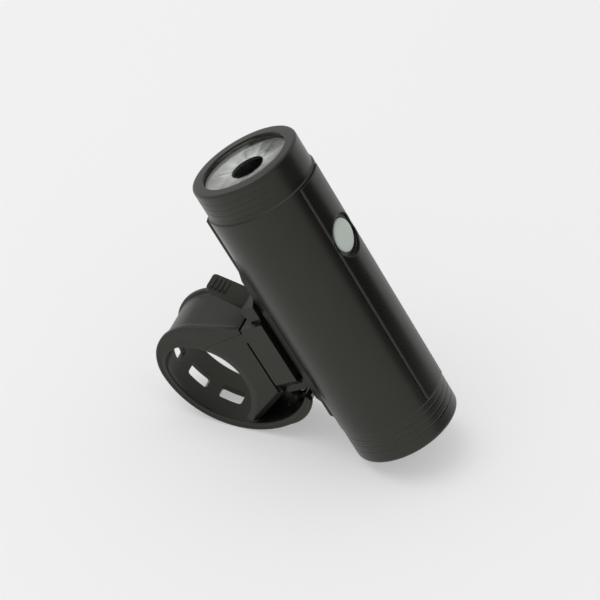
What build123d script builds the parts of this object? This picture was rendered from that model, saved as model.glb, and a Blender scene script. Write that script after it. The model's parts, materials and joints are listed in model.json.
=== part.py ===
from build123d import *
import os
from math import acos, asin, atan2, cos, degrees, hypot, radians, sin

# A handlebar bike light: a ribbed tube light on a slide-in mount with a rubber strap.
# Lengths are in millimetres. The light's own axes are: x from the tail to the lens, y along the
# handlebar, z from the mount up to the deck with the button. The assembly stands on a table on the
# rim of its tail ring and on the strap, so those axes lean in the part's frame, where z is up.

# Driving sizes of the light
light_length = 95.3
barrel_diameter = 32.6
bezel_diameter = 31.7
tail_diameter = 32.2
bezel_length = 9.6
tail_length = 11.3
bore_diameter = 27.2
neck_diameter = 29.4
front_neck_length = 6.6
tail_neck_length = 7.2
seal_width = 1.3
seal_length = 0.8
edge_round = 1.2
front_round = 0.7
thread_clearance = 0.06
gap = 0.3
face_gap = 0.1
slide_clearance = 0.05
seat_clearance = 0.02

# Driving sizes of the ribs on both rings
bezel_grooves = 4
tail_grooves = 3
bezel_groove_pitch = 1.86
tail_groove_pitch = 2.2
groove_width = 0.35
groove_depth = 0.2
groove_land = 1.4
tail_groove_inset = 0.85

# Driving sizes of the optics
lip_thickness = 0.7
lip_opening = 25.0
lens_diameter = 26.8
lens_thickness = 1.4
lens_bevel = 0.2
reflector_diameter = 26.0
reflector_rim = 24.6
reflector_port = 9.6
reflector_depth = 0.9
reflector_sheet = 0.8
led_recess = 4.2
led_board_diameter = 20.0
led_board_thickness = 1.6
led_size = 5.0
led_height = 1.1
led_dome_inset = 0.3
collar_wall = 1.6
heat_sink_length = 6.6
heat_sink_web = 3.0
heat_sink_wall = 2.2

# Driving sizes of the deck, the button and the electronics
deck_half_angle = 23.0
deck_proud = 0.55
deck_bevel = 0.6
slot_margin = 1.5
cut_reach = 2.0
tongue_half_width = 5.2
tongue_lift = 0.2
button_station = 65.6
button_diameter = 9.7
button_travel = 0.5
button_sink = 1.1
button_flange = 0.8
button_round = 0.5
recess_diameter = 12.3
recess_depth = 1.5
recess_floor = 1.0
board_height = 7.6
board_thickness = 1.2
board_width = 20.0
switch_size = 6.0
switch_height = 3.4
plunger_diameter = 3.4
plunger_height = 0.8
stem_diameter = 3.0
battery_diameter = 18.4
battery_length = 65.0
battery_height = -3.8
battery_end_gap = 3.6
cradle_length = 8.0
terminal_height = 1.0
terminal_diameter = 6.0
cradle_inset = 0.5
strip_width = 4.0
strip_offset = 7.2
tab_thickness = 0.6

# Driving sizes of the tail plate and its charging socket
tail_plate_thickness = 2.0
socket_width = 9.0
socket_height = 3.2
socket_depth = 7.4
socket_floor = 1.5
plug_width = 13.0
plug_height = 7.0
plug_thickness = 0.9
plug_boss = 0.7
plug_corner = 2.4
socket_corner = 1.2
socket_wall = 0.4

# Driving sizes of the keel and the rail under the barrel
keel_end_gap = 0.5
keel_depth = 16.8
keel_half_width = 6.2
keel_lip_half_width = 7.3
keel_lip_start = 20.7
keel_lip_end = 63.6
keel_chamfer = 1.4
keel_flare = 2.4
rail_neck_half_width = 4.8
rail_flange_half_width = 7.2
rail_flange_thickness = 1.6
rail_neck_height = 3.3
rail_start = 27.8
rail_end = 55.3
rail_screw_stations = (17.5, 76.0)
rail_screw_diameter = 3.0
rail_screw_head = 5.4
rail_screw_length = 3.1

# Driving sizes of the slide base and its latch
base_half_width = 9.35
base_start = 26.2
base_end = 49.6
guide_start = 51.7
guide_end = 55.9
wall_top = 17.7
guide_top = 16.85
guide_foot = 20.9
base_floor_thickness = 3.0
floor_bottom = 25.0
lip_slope = 1.7
base_chamfer = 3.0
nose_length = 2.3
latch_half_width = 3.4
latch_drop = 0.4
latch_straight = 10.0
latch_tooth_station = 49.9
latch_tooth_length = 1.6
latch_pocket_depth = 0.6
latch_relief = 0.4
latch_pin_length = 13.0
latch_root = 43.0
latch_thickness = 2.2
latch_tab_length = 13.4
latch_tab_round = 1.2
latch_tab_thickness = 1.2
latch_tab_angle = 46.0
latch_pin_diameter = 1.6
latch_ribs = 4
rib_pitch = 1.3
rib_width = 0.6
rib_height = 0.5
rib_length = 4.6

# Driving sizes of the saddle on the handlebar
bar_diameter = 31.8
bar_station = 33.3
bar_height = -49.0
pad_thickness = 1.3
pad_front_inset = 0.4
pad_tail_inset = 1.0
saddle_tip_angle = 38.0
saddle_tail_angle = 147.0
saddle_tip_width = 1.2
saddle_front = 48.4
saddle_back = 25.1
saddle_chamfer = 2.0
reveal_end = 45.1
reveal_height = 0.6
reveal_depth = 1.2
saddle_screw_places = (-5.5, 5.5)
screw_inset = 0.1
screw_reach = 2.4
saddle_screw_diameter = 2.5
saddle_screw_head = 4.6
hook_half_width = 2.2
hook_thickness = 2.0
hook_height = -28.4
hook_back = 15.2
hook_rise = 1.0

# Driving sizes of the rubber strap
strap_half_width = 9.35
strap_rim_width = 2.45
strap_centre_station = 40.2
strap_centre_height = -32.8
strap_inner_radius = 23.25
strap_rim_thickness = 2.6
strap_web_thickness = 2.0
strap_corner_angle = 271.0
strap_corner_radius = 14.6
strap_web_corner_radius = 14.0
strap_tail_angle = 170.0
strap_bulge = 0.3
strap_bulge_angle = 156.0
strap_end_station = 23.3
strap_end_height = -18.45
strap_root_height = -25.5
slot_length = 7.1
slot_half_width = 2.45
slot_pitch_angle = 27.8
slot_count = 3
hook_slot_angle = 167.0
slot_first_angle = 277.8
slot_corner = 0.8
strap_touch_angle = 2.0
strap_root_thickness = 1.4
strap_root_gap = 0.15
strap_foot_inset = 0.6
strap_end_run = 0.7
strap_end_rise = 0.5
bead_diameter = 3.4
bead_station = 46.4
bead_height = -29.6
bead_neck = 1.8
bead_half_length = 8.0

# Sizes worked out from the driving ones
barrel_r = barrel_diameter / 2
bezel_r = bezel_diameter / 2
tail_r = tail_diameter / 2
bore_r = bore_diameter / 2
neck_r = neck_diameter / 2
ring_bore_r = neck_r + thread_clearance
barrel_start = tail_length
barrel_end = light_length - bezel_length
deck_r = barrel_r + deck_proud
bar_r = bar_diameter / 2
bar_pad_r = bar_r + pad_thickness
shank_r = rail_screw_diameter / 2
rail_hole_r = shank_r + seat_clearance
rail_sink_r = rail_screw_head / 2 + seat_clearance
latch_slot_half_width = latch_half_width + gap
saddle_hole_r = saddle_screw_diameter / 2 + seat_clearance
saddle_sink_r = saddle_screw_head / 2 + seat_clearance
strap_outer_radius = strap_inner_radius + strap_rim_thickness
strap_web_radius = strap_inner_radius + strap_web_thickness


def lean_angle():
    """Angle of the light over the table, where the strap and the tail ring share a tangent."""
    run = strap_centre_station - edge_round
    drop = -strap_centre_height - (tail_r - edge_round)
    dip = degrees(atan2(drop, run))
    spread = degrees(asin((strap_outer_radius - edge_round) / hypot(run, drop)))
    return dip + spread


lean = lean_angle()
up_x, up_z = sin(radians(lean)), cos(radians(lean))


def strap_point(radius, angle):
    """Point on a circle round the strap's centre, in the light's x and z."""
    turn = radians(angle)
    return (strap_centre_station + radius * cos(turn), strap_centre_height + radius * sin(turn))


def bar_point(radius, angle):
    """Point on a circle round the handlebar's centre, in the light's x and z."""
    turn = radians(angle)
    return (bar_station + radius * cos(turn), bar_height + radius * sin(turn))


# The part's origin lies on the table, midway between the outermost points of tail and strap
table_drop = up_x * edge_round - up_z * (tail_r - edge_round) - edge_round
corner_centre = strap_point(strap_outer_radius - strap_corner_radius, strap_corner_angle)
back_reach = up_z * edge_round - up_x * (tail_r - edge_round) - edge_round
front_reach = up_z * corner_centre[0] - up_x * corner_centre[1] + strap_corner_radius
origin_shift = (back_reach + front_reach) / 2
LIGHT = Plane(origin=(-origin_shift, 0, -table_drop), x_dir=(up_z, 0, up_x), z_dir=(-up_x, 0, up_z))
LIGHT_AXIS = Axis(LIGHT.origin, LIGHT.x_dir)


def across(x):
    """Plane square to the light's axis at station x: its own x is the light's y, its own y is z."""
    return Plane(origin=LIGHT.from_local_coords((x, 0, 0)), x_dir=LIGHT.y_dir, z_dir=LIGHT.x_dir)


def beside(y):
    """Plane along the light's axis, upright, at y: its own x and y are the light's x and z."""
    return Plane(origin=LIGHT.from_local_coords((0, y, 0)), x_dir=LIGHT.x_dir, z_dir=-LIGHT.y_dir)


def above(z):
    """Plane over the light's axis at height z: its own x and y are the light's x and y."""
    return Plane(origin=LIGHT.from_local_coords((0, 0, z)), x_dir=LIGHT.x_dir, z_dir=LIGHT.z_dir)


def keel_screw_places():
    """Places of the keel's screw heads, looking up into the keel's underside."""
    return [above(-keel_depth).location * Pos(x, 0, 0) * Rot(180, 0, 0) for x in rail_screw_stations]


os.makedirs("parts", exist_ok=True)

# Stations along the light, worked out from its front face and its shoulders
neck_back = barrel_start - tail_neck_length
neck_front = barrel_end + front_neck_length
lip_back = light_length - lip_thickness
lens_front = lip_back - face_gap
lens_back = lens_front - lens_thickness
dish_rim = lens_back - slide_clearance
dish_port = dish_rim - reflector_depth
led_seat = dish_port - led_recess
sink_front = led_seat - led_board_thickness
sink_back = sink_front - heat_sink_length

# Barrel: a drawn tube with a threaded neck at each end and a slot under the deck
deck_start = barrel_start + gap
deck_end = barrel_end - gap
slot_start = deck_start + slot_margin
slot_end = deck_end - slot_margin
with BuildPart() as barrel_tube:
    with BuildSketch(beside(0)):
        with BuildLine():
            Polyline(
                (neck_back, bore_r), (neck_back, neck_r), (barrel_start, neck_r), (barrel_start, barrel_r),
                (barrel_end, barrel_r), (barrel_end, neck_r), (neck_front, neck_r), (neck_front, bore_r),
                close=True,
            )
        make_face()
    revolve(axis=LIGHT_AXIS)
    with BuildSketch(above(bore_r - cut_reach)):
        with Locations(((slot_start + slot_end) / 2, 0)):
            Rectangle(slot_end - slot_start, 2 * (tongue_half_width + face_gap))
    extrude(amount=barrel_r, mode=Mode.SUBTRACT)
    with BuildSketch(above(bore_r - cut_reach)):
        with Locations((button_station, 0)):
            Circle(button_diameter / 2 + button_flange + gap)
    extrude(amount=barrel_r, mode=Mode.SUBTRACT)
    with Locations(*keel_screw_places()):
        CounterSinkHole(rail_hole_r, rail_sink_r, 2 * (keel_depth - bore_r))
barrel_tube.part.label = "barrel_tube"
export_step(barrel_tube.part, "parts/barrel_tube.step")

# Deck cover: a curved strip over the barrel with bevelled sides and a tongue down into the slot
deck_edge_angle = degrees(asin((deck_r * sin(radians(deck_half_angle)) - deck_bevel) / deck_r))
tongue_bottom = bore_r + tongue_lift
deck_seat_r = barrel_r + seat_clearance
with BuildPart() as deck_cover:
    with BuildSketch(across(deck_start)):
        with BuildLine():
            side = deck_seat_r * sin(radians(deck_half_angle))
            seat = deck_seat_r * cos(radians(deck_half_angle))
            rim = deck_r * sin(radians(deck_edge_angle))
            crown = deck_r * cos(radians(deck_edge_angle))
            ThreePointArc((-side, seat), (0, deck_seat_r), (side, seat))
            Line((side, seat), (rim, crown))
            ThreePointArc((rim, crown), (0, deck_r), (-rim, crown))
            Line((-rim, crown), (-side, seat))
        make_face()
    extrude(amount=deck_end - deck_start)
    with BuildSketch(across(slot_start + face_gap)):
        Circle(deck_seat_r + tongue_lift)
        with Locations((0, tongue_bottom + barrel_r)):
            Rectangle(2 * tongue_half_width, 2 * barrel_r, mode=Mode.INTERSECT)
    extrude(amount=slot_end - slot_start - 2 * face_gap)
    with BuildSketch(above(deck_r - recess_depth)):
        with Locations((button_station, 0)):
            Circle(recess_diameter / 2)
    extrude(amount=recess_depth + cut_reach, mode=Mode.SUBTRACT)
    with BuildSketch(above(tongue_bottom)):
        with Locations((button_station, 0)):
            Circle(button_diameter / 2 + face_gap)
    extrude(amount=deck_r, mode=Mode.SUBTRACT)
    with BuildSketch(above(tongue_bottom - cut_reach)):
        with Locations((button_station, 0)):
            Circle(button_diameter / 2 + button_flange + gap)
    extrude(amount=cut_reach + deck_r - recess_depth - recess_floor - tongue_bottom, mode=Mode.SUBTRACT)
deck_cover.part.label = "deck_cover"
export_step(deck_cover.part, "parts/deck_cover.step")

# Button: a translucent cap with a flange that stops it under the deck and a stem for the switch
button_top = deck_r - button_sink
cap_flange_top = deck_r - recess_depth - recess_floor - slide_clearance
cap_flange_bottom = cap_flange_top - button_flange
switch_top = board_height + board_thickness + switch_height
stem_bottom = switch_top + button_travel + slide_clearance
with BuildPart() as button_cap:
    with BuildSketch(above(cap_flange_top)):
        with Locations((button_station, 0)):
            Circle(button_diameter / 2)
    extrude(amount=button_top - cap_flange_top)
    cap_circles = button_cap.edges().filter_by(GeomType.CIRCLE)
    fillet(cap_circles.sort_by(Axis(LIGHT.origin, LIGHT.z_dir))[-1], button_round)
    with BuildSketch(above(cap_flange_bottom)):
        with Locations((button_station, 0)):
            Circle(button_diameter / 2 + button_flange)
    extrude(amount=button_flange)
    with BuildSketch(above(stem_bottom)):
        with Locations((button_station, 0)):
            Circle(stem_diameter / 2)
    extrude(amount=cap_flange_bottom - stem_bottom)
button_cap.part.label = "button_cap"
export_step(button_cap.part, "parts/button_cap.step")

# Circuit board with its switch, between the battery and the deck
board_start = neck_back + slot_margin
board_end = sink_back - gap
with BuildPart() as circuit_board:
    with BuildSketch(above(board_height)):
        with Locations(((board_start + board_end) / 2, 0)):
            Rectangle(board_end - board_start, board_width)
    extrude(amount=board_thickness)
circuit_board.part.label = "circuit_board"
export_step(circuit_board.part, "parts/circuit_board.step")

with BuildPart() as tact_switch:
    with BuildSketch(above(board_height + board_thickness)):
        with Locations((button_station, 0)):
            Rectangle(switch_size, switch_size)
    extrude(amount=switch_height - plunger_height)
    with BuildSketch(above(switch_top - plunger_height)):
        with Locations((button_station, 0)):
            Circle(plunger_diameter / 2)
    extrude(amount=plunger_height)
tact_switch.part.label = "tact_switch"
export_step(tact_switch.part, "parts/tact_switch.step")

# Battery: one round cell, held off the tube by a cradle at each end
battery_end = sink_back - battery_end_gap
battery_start = battery_end - battery_length
with BuildPart() as battery_cell:
    with BuildSketch(across(battery_start)):
        with Locations((0, battery_height)):
            Circle(battery_diameter / 2)
    extrude(amount=battery_length)
    with BuildSketch(across(battery_end)):
        with Locations((0, battery_height)):
            Circle(terminal_diameter / 2)
    extrude(amount=terminal_height)
battery_cell.part.label = "battery_cell"
export_step(battery_cell.part, "parts/battery_cell.step")


def battery_cradle(name, start):
    """Plastic ring that seats in the tube's bore and carries one end of the cell and the board."""
    with BuildPart() as cradle:
        with BuildSketch(across(start)):
            Circle(bore_r - slide_clearance)
            with Locations((0, battery_height)):
                Circle(battery_diameter / 2 + slide_clearance, mode=Mode.SUBTRACT)
            with Locations((0, board_height + bore_r)):
                Rectangle(2 * bore_r, 2 * bore_r, mode=Mode.SUBTRACT)
        extrude(amount=cradle_length)
    cradle.part.label = name
    export_step(cradle.part, f"parts/{name}.step")


battery_cradle("cradle_front", battery_end - cradle_length - cradle_inset)
battery_cradle("cradle_rear", battery_start + cradle_inset)


def contact_strip(name, x, y):
    """Nickel strip from one end of the cell up to the board."""
    with BuildPart() as strip:
        with BuildSketch(across(x)):
            with Locations((y, (battery_height + board_height) / 2)):
                Rectangle(strip_width, board_height - battery_height)
        extrude(amount=tab_thickness)
    strip.part.label = name
    export_step(strip.part, f"parts/{name}.step")


contact_strip("contact_front", battery_end + terminal_height, 0)
contact_strip("contact_rear", battery_start - tab_thickness, strip_offset)

# Heat sink: an aluminium cup pressed into the front of the tube
with BuildPart() as heat_sink:
    with BuildSketch(beside(0)):
        with BuildLine():
            Polyline(
                (sink_back, bore_r - heat_sink_wall), (sink_back, bore_r - seat_clearance),
                (sink_front, bore_r - seat_clearance), (sink_front, 0), (sink_front - heat_sink_web, 0),
                (sink_front - heat_sink_web, bore_r - heat_sink_wall), close=True,
            )
        make_face()
    revolve(axis=LIGHT_AXIS)
heat_sink.part.label = "heat_sink"
export_step(heat_sink.part, "parts/heat_sink.step")

# LED on its round board, in front of the heat sink
with BuildPart() as led_board:
    with BuildSketch(across(sink_front)):
        Circle(led_board_diameter / 2)
    extrude(amount=led_board_thickness)
led_board.part.label = "led_board"
export_step(led_board.part, "parts/led_board.step")

with BuildPart() as led_emitter:
    with BuildSketch(across(led_seat)):
        Rectangle(led_size, led_size)
    extrude(amount=led_height / 2)
    with BuildSketch(across(led_seat + led_height / 2)):
        Circle(led_size / 2 - led_dome_inset)
    extrude(amount=led_height / 2)
led_emitter.part.label = "led_emitter"
export_step(led_emitter.part, "parts/led_emitter.step")

# Reflector: a shallow polished dish with a round port, on a skirt that stands on the heat sink
rim_r = reflector_rim / 2
port_r = reflector_port / 2
skirt_r = reflector_diameter / 2
with BuildPart() as reflector:
    with BuildSketch(beside(0)):
        with BuildLine():
            Polyline(
                (dish_port, port_r), (dish_rim, rim_r), (dish_rim, skirt_r), (sink_front, skirt_r),
                (sink_front, rim_r), (dish_rim - reflector_sheet, rim_r),
                (dish_port - reflector_sheet, port_r), close=True,
            )
        make_face()
    revolve(axis=LIGHT_AXIS)
reflector.part.label = "reflector"
export_step(reflector.part, "parts/reflector.step")

# Black collar between the LED board and the reflector's port
collar_top = dish_port - reflector_sheet
with BuildPart() as led_collar:
    with BuildSketch(across(led_seat)):
        Circle(port_r + collar_wall)
        Circle(port_r, mode=Mode.SUBTRACT)
    extrude(amount=collar_top - led_seat)
led_collar.part.label = "led_collar"
export_step(led_collar.part, "parts/led_collar.step")

# Front lens and the seal ring behind it
with BuildPart() as front_lens:
    with BuildSketch(across(lens_back)):
        Circle(lens_diameter / 2)
    extrude(amount=lens_thickness)
    chamfer(front_lens.edges().filter_by(GeomType.CIRCLE), lens_bevel)
front_lens.part.label = "front_lens"
export_step(front_lens.part, "parts/front_lens.step")


def seal_ring(name, start, length):
    """Flat rubber ring on the end of the tube's neck."""
    with BuildPart() as ring:
        with BuildSketch(across(start)):
            Circle(neck_r - gap)
            Circle(neck_r - gap - seal_width, mode=Mode.SUBTRACT)
        extrude(amount=length)
    ring.part.label = name
    export_step(ring.part, f"parts/{name}.step")


seal_ring("lens_seal", neck_front, lens_back - neck_front)
seal_ring("tail_seal", neck_back - seal_length, seal_length)


def groove_stations(first, pitch, count):
    """Stations of a ring's grooves along the light."""
    return [first + pitch * i for i in range(count)]


# Front bezel: a ribbed ring screwed on the front neck, its lip holding the lens
lip_r = lip_opening / 2
bezel_back = barrel_end + face_gap
lens_room_r = lens_diameter / 2 + gap
with BuildPart() as front_bezel:
    with BuildSketch(beside(0)) as bezel_profile:
        with BuildLine():
            Polyline(
                (bezel_back, ring_bore_r), (bezel_back, bezel_r), (light_length, bezel_r),
                (light_length, lip_r), (lip_back, lip_r), (lip_back, lens_room_r),
                (lens_back, lens_room_r), (lens_back, ring_bore_r), close=True,
            )
        make_face()
        fillet(bezel_profile.vertices().sort_by_distance((light_length, bezel_r))[0], front_round)
    revolve(axis=LIGHT_AXIS)
    with BuildSketch(beside(0)):
        first = bezel_back + groove_land
        for x in groove_stations(first, bezel_groove_pitch, bezel_grooves):
            with Locations((x, bezel_r)):
                Rectangle(groove_width, 2 * groove_depth)
    revolve(axis=LIGHT_AXIS, mode=Mode.SUBTRACT)
front_bezel.part.label = "front_bezel"
export_step(front_bezel.part, "parts/front_bezel.step")

# Tail ring: the same at the other end, rounded where it stands on the table
tail_front = barrel_start - face_gap
plate_front = neck_back - seal_length
plate_back = plate_front - tail_plate_thickness
tail_lip_front = plate_back - face_gap
with BuildPart() as tail_ring:
    with BuildSketch(beside(0)) as tail_profile:
        with BuildLine():
            Polyline(
                (tail_front, ring_bore_r), (tail_front, tail_r), (0, tail_r), (0, lip_r),
                (tail_lip_front, lip_r), (tail_lip_front, lens_room_r),
                (plate_front, lens_room_r), (plate_front, ring_bore_r), close=True,
            )
        make_face()
        fillet(tail_profile.vertices().sort_by_distance((0, tail_r))[0], edge_round)
    revolve(axis=LIGHT_AXIS)
    with BuildSketch(beside(0)):
        first = tail_front - groove_land - tail_groove_pitch * (tail_grooves - 1) - tail_groove_inset
        for x in groove_stations(first, tail_groove_pitch, tail_grooves):
            with Locations((x, tail_r)):
                Rectangle(groove_width, 2 * groove_depth)
    revolve(axis=LIGHT_AXIS, mode=Mode.SUBTRACT)
tail_ring.part.label = "tail_ring"
export_step(tail_ring.part, "parts/tail_ring.step")

# Tail plate: closes the tube, with a port for the charging socket and a pocket for its flap
socket_centre = board_height - socket_height / 2 - seat_clearance
with BuildPart() as tail_plate:
    with BuildSketch(across(plate_back)):
        Circle(lens_diameter / 2)
    extrude(amount=tail_plate_thickness)
    with BuildSketch(across(plate_back)) as flap_pocket:
        with Locations((0, socket_centre)):
            Rectangle(plug_width + 2 * gap, plug_height + 2 * gap)
        fillet(flap_pocket.vertices().group_by(Axis.Y)[0], plug_corner + gap)
    extrude(amount=plug_thickness, mode=Mode.SUBTRACT)
    with BuildSketch(across(plate_back)):
        with Locations((0, socket_centre)):
            RectangleRounded(socket_width, socket_height, socket_corner)
    extrude(amount=tail_plate_thickness, mode=Mode.SUBTRACT)
tail_plate.part.label = "tail_plate"
export_step(tail_plate.part, "parts/tail_plate.step")

# Charging socket: a steel shell under the board's tail end
with BuildPart() as usb_socket:
    with BuildSketch(across(plate_front + slide_clearance)):
        with Locations((0, socket_centre)):
            RectangleRounded(socket_width, socket_height, socket_corner)
    extrude(amount=socket_depth)
    with BuildSketch(across(plate_front + slide_clearance)):
        with Locations((0, socket_centre)):
            RectangleRounded(
                socket_width - 2 * socket_wall, socket_height - 2 * socket_wall, socket_corner - socket_wall
            )
    extrude(amount=socket_depth - socket_floor, mode=Mode.SUBTRACT)
usb_socket.part.label = "usb_socket"
export_step(usb_socket.part, "parts/usb_socket.step")

# Rubber flap over the socket, which bends open about its upper edge
with BuildPart() as usb_flap:
    with BuildSketch(across(plate_back)) as flap_outline:
        with Locations((0, socket_centre)):
            Rectangle(plug_width, plug_height)
        fillet(flap_outline.vertices().group_by(Axis.Y)[0], plug_corner)
    extrude(amount=plug_thickness)
    flap_edges = usb_flap.edges().filter_by(Axis(LIGHT.origin, LIGHT.y_dir))
    fillet(flap_edges.sort_by(Axis(LIGHT.origin, LIGHT.z_dir))[-2:], plug_thickness / 2 - seat_clearance / 4)
    with BuildSketch(across(plate_back + plug_thickness)):
        with Locations((0, socket_centre)):
            RectangleRounded(socket_width - 2 * gap, socket_height - 2 * gap, socket_corner - gap)
    extrude(amount=plug_boss)
usb_flap.part.label = "usb_flap"
export_step(usb_flap.part, "parts/usb_flap.step")

# Keel: a moulded rail screwed under the tube, wider in the middle, with a T rail for the mount
keel_start = barrel_start + keel_end_gap
keel_end = barrel_end - keel_end_gap
flange_top = -keel_depth - rail_neck_height
flange_bottom = flange_top - rail_flange_thickness
with BuildPart() as keel_rail:
    with BuildSketch(above(-keel_depth)):
        with BuildLine():
            plan = Polyline(
                (keel_start, 0), (keel_start, keel_half_width),
                (keel_lip_start - keel_flare, keel_half_width), (keel_lip_start, keel_lip_half_width),
                (keel_lip_end, keel_lip_half_width), (keel_lip_end + keel_flare, keel_half_width),
                (keel_end, keel_half_width), (keel_end, 0),
            )
            mirror(plan, about=Plane.XZ)
        make_face()
    extrude(amount=keel_depth)
    with BuildSketch(beside(0)):
        with BuildLine():
            Polyline(
                (keel_start, 0), (keel_start, -keel_depth + keel_chamfer),
                (keel_start + keel_chamfer, -keel_depth), (keel_end - keel_chamfer, -keel_depth),
                (keel_end, -keel_depth + keel_chamfer), (keel_end, 0), close=True,
            )
        make_face()
    extrude(amount=barrel_r, both=True, mode=Mode.INTERSECT)
    with BuildSketch(across(0)):
        Circle(deck_seat_r)
    extrude(amount=light_length, mode=Mode.SUBTRACT)
    with BuildSketch(above(flange_top)):
        with Locations(((rail_start + rail_end) / 2, 0)):
            Rectangle(rail_end - rail_start, 2 * rail_neck_half_width)
    extrude(amount=rail_neck_height)
    with BuildSketch(above(flange_bottom)):
        with Locations(((rail_start + rail_end) / 2, 0)):
            Rectangle(rail_end - rail_start, 2 * rail_flange_half_width)
    extrude(amount=rail_flange_thickness)
    with BuildSketch(above(flange_bottom)):
        with Locations((latch_tooth_station, 0)):
            Rectangle(latch_tooth_length + 2 * gap, 2 * latch_half_width + 2 * gap)
    extrude(amount=latch_pocket_depth, mode=Mode.SUBTRACT)
    with Locations(*keel_screw_places()):
        CounterSinkHole(rail_hole_r, rail_sink_r, 2 * (keel_depth - bore_r))
keel_rail.part.label = "keel_rail"
export_step(keel_rail.part, "parts/keel_rail.step")

# Countersunk screws that hold the keel to the tube
with BuildPart() as rail_screws:
    for x in rail_screw_stations:
        with BuildSketch(beside(0)):
            with BuildLine():
                Polyline(
                    (x, -keel_depth), (x + rail_screw_head / 2, -keel_depth),
                    (x + shank_r, -keel_depth + rail_screw_head / 2 - shank_r),
                    (x + shank_r, -keel_depth + rail_screw_length), (x, -keel_depth + rail_screw_length),
                    close=True,
                )
            make_face()
        revolve(axis=Axis(LIGHT.from_local_coords((x, 0, 0)), LIGHT.z_dir))
rail_screws.part.label = "rail_screws"
export_step(rail_screws.part, "parts/rail_screws.step")

# Slide base: a floor with undercut side walls, a stop at the tail end and guides past a notch
floor_top = -floor_bottom + base_floor_thickness
lip_under = flange_top + gap
channel_half_width = rail_flange_half_width + gap
throat_half_width = rail_neck_half_width + gap
stop_end = rail_start - gap
lip_fall = lip_slope / (base_half_width - throat_half_width)
lip_shoulder = -wall_top - lip_fall * (base_half_width - channel_half_width)
pin_station = latch_root + latch_thickness / 2
pin_height = -floor_bottom + base_floor_thickness / 2


def wall_section(start, top, foot):
    """Section of both undercut walls, each with a lip that slopes down to the rail's neck."""
    with BuildSketch(across(start)) as section:
        with BuildLine():
            Polyline(
                (base_half_width, -foot), (base_half_width, -top), (throat_half_width, -top - lip_slope),
                (throat_half_width, lip_under), (channel_half_width, lip_under),
                (channel_half_width, -foot), close=True,
            )
        make_face()
        mirror(about=Plane.YZ)
    return section.sketch


with BuildPart() as slide_base:
    with BuildSketch(above(-floor_bottom)):
        with Locations(((base_start + base_end) / 2, 0)):
            Rectangle(base_end - base_start, 2 * base_half_width)
    extrude(amount=base_floor_thickness)
    extrude(wall_section(base_start, wall_top, floor_bottom), amount=base_end - base_start)
    extrude(wall_section(guide_start, guide_top, guide_foot), amount=guide_end - guide_start)
    with BuildSketch(across(base_end)):
        with BuildLine():
            Polyline(
                (channel_half_width, lip_under), (throat_half_width, lip_under),
                (throat_half_width, -wall_top - lip_slope), (channel_half_width, lip_shoulder), close=True,
            )
        make_face()
        mirror(about=Plane.YZ)
    extrude(amount=guide_start - base_end)
    with BuildSketch(above(-floor_bottom)):
        with Locations(((base_start + stop_end) / 2, 0)):
            Rectangle(stop_end - base_start, 2 * base_half_width)
    extrude(amount=floor_bottom + flange_top)
    with BuildSketch(above(-floor_bottom)):
        with BuildLine():
            plan = Polyline(
                (base_start, 0), (base_start, base_half_width - base_chamfer),
                (base_start + base_chamfer, base_half_width), (guide_end, base_half_width), (guide_end, 0),
            )
            mirror(plan, about=Plane.XZ)
        make_face()
    extrude(amount=floor_bottom, mode=Mode.INTERSECT)
    with BuildSketch(above(-floor_bottom)):
        with Locations(((base_start - nose_length + stop_end) / 2, 0)):
            Rectangle(stop_end - base_start + nose_length, 2 * keel_half_width)
    extrude(amount=floor_bottom - keel_depth - gap)
    with BuildSketch(above(-floor_bottom)):
        with Locations(((latch_root + base_end - gap) / 2, 0)):
            Rectangle(base_end - latch_root + gap, 2 * latch_slot_half_width)
    extrude(amount=base_floor_thickness, mode=Mode.SUBTRACT)
    with BuildSketch(beside(0)):
        with Locations((pin_station, pin_height)):
            Circle(latch_pin_diameter / 2 + seat_clearance)
    extrude(amount=latch_pin_length / 2, both=True, mode=Mode.SUBTRACT)
    with Locations(*[above(-floor_bottom).location * Pos(bar_station, y, 0) for y in saddle_screw_places]):
        Cylinder(saddle_hole_r, 2 * screw_reach, mode=Mode.SUBTRACT)
slide_base.part.label = "slide_base"
export_step(slide_base.part, "parts/slide_base.step")

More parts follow.
